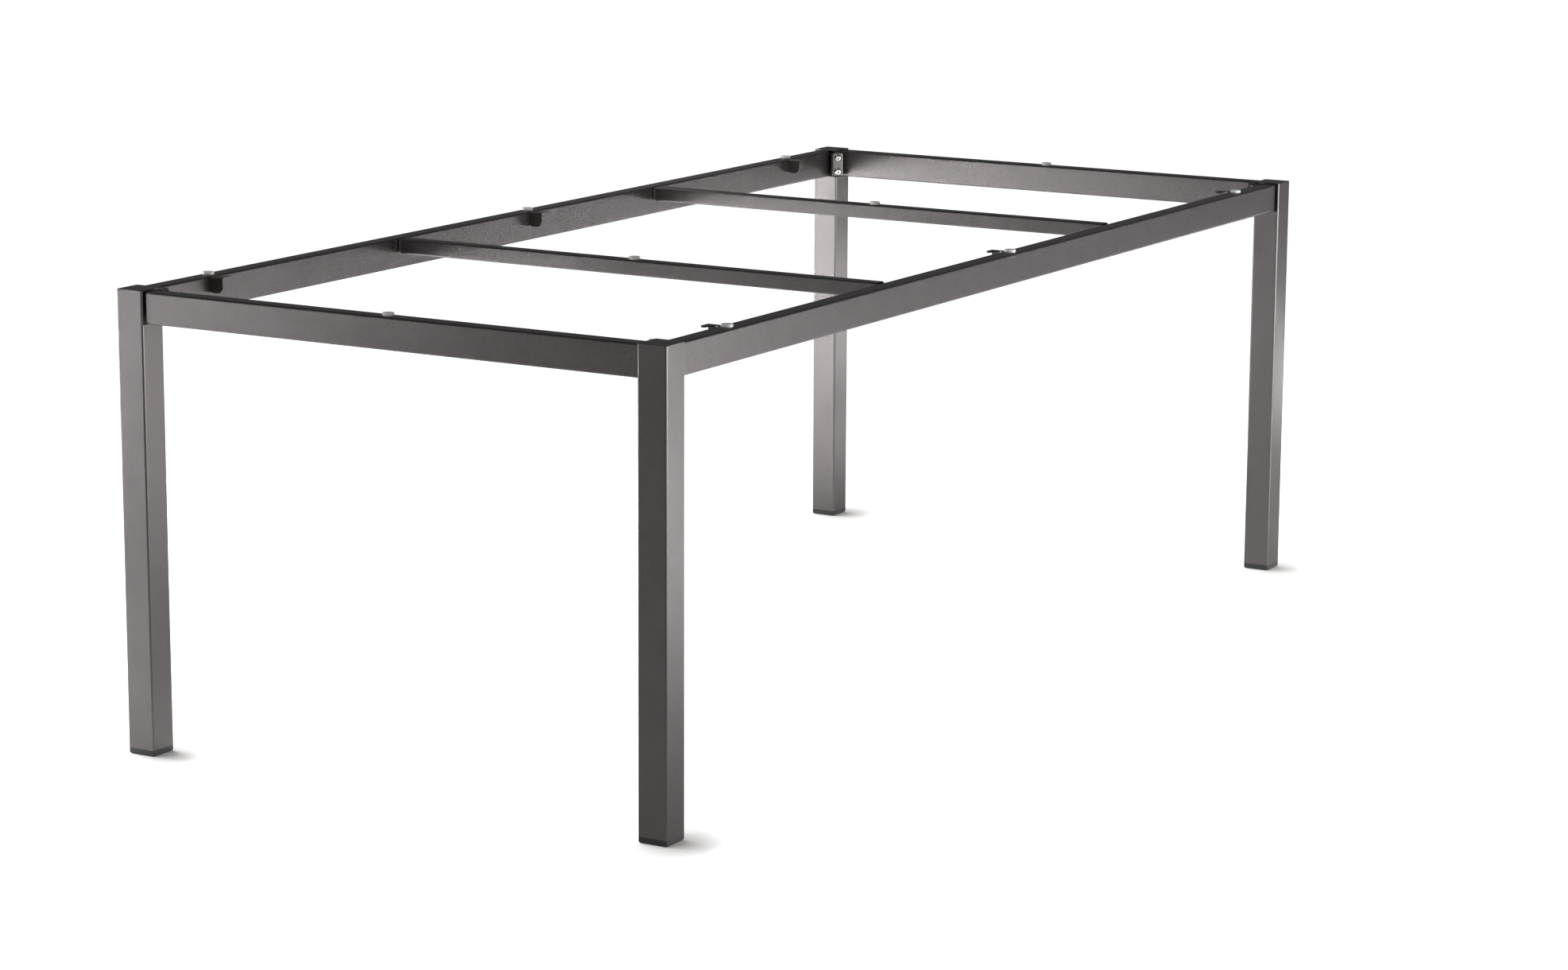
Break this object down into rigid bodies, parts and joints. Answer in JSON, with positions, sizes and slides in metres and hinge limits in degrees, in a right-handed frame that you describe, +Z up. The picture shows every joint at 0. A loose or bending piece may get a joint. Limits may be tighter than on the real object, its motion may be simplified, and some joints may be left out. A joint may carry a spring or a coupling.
{
  "type": "table frame",
  "caption": "Rectangular dining table frame: square tube legs bolted into rectangular rails, crossbars, hooked clips and round pads that carry a table top.",
  "frame": {"origin": "on the floor under the middle of the frame", "axes": "+X along the length, -Y the front long side, +Z up"},
  "size_m": [2.2, 1, 0.743],
  "materials": {
    "frame_coat": "satin iron grey metallic powder coat",
    "foot_plastic": "matte black, moulded",
    "stainless": "bare stainless",
    "pad_rubber": "translucent white"
  },
  "bodies": {
    "root": {"corner_bolts": "stainless", "corner_bracket_back_left": "frame_coat", "corner_bracket_back_right": "frame_coat", "corner_bracket_front_left": "frame_coat", "corner_bracket_front_right": "frame_coat", "crossbar_left": "frame_coat", "crossbar_right": "frame_coat", "crossbar_spigot_back_left": "stainless", "crossbar_spigot_back_right": "stainless", "crossbar_spigot_front_left": "stainless", "crossbar_spigot_front_right": "stainless", "end_rail_left": "frame_coat", "end_rail_right": "frame_coat", "foot_cap_back_left": "foot_plastic", "foot_cap_back_right": "foot_plastic", "foot_cap_front_left": "foot_plastic", "foot_cap_front_right": "foot_plastic", "leg_back_left": "frame_coat", "leg_back_right": "frame_coat", "leg_cap_back_left": "frame_coat", "leg_cap_back_right": "frame_coat", "leg_cap_front_left": "frame_coat", "leg_cap_front_right": "frame_coat", "leg_front_left": "frame_coat", "leg_front_right": "frame_coat", "leg_inserts": "foot_plastic", "long_rail_back": "frame_coat", "long_rail_front": "frame_coat", "top_clip_back_left": "frame_coat", "top_clip_back_middle": "frame_coat", "top_clip_back_right": "frame_coat", "top_clip_front_left": "frame_coat", "top_clip_front_middle": "frame_coat", "top_clip_front_right": "frame_coat", "top_pads": "pad_rubber"}
  },
  "joints": []
}
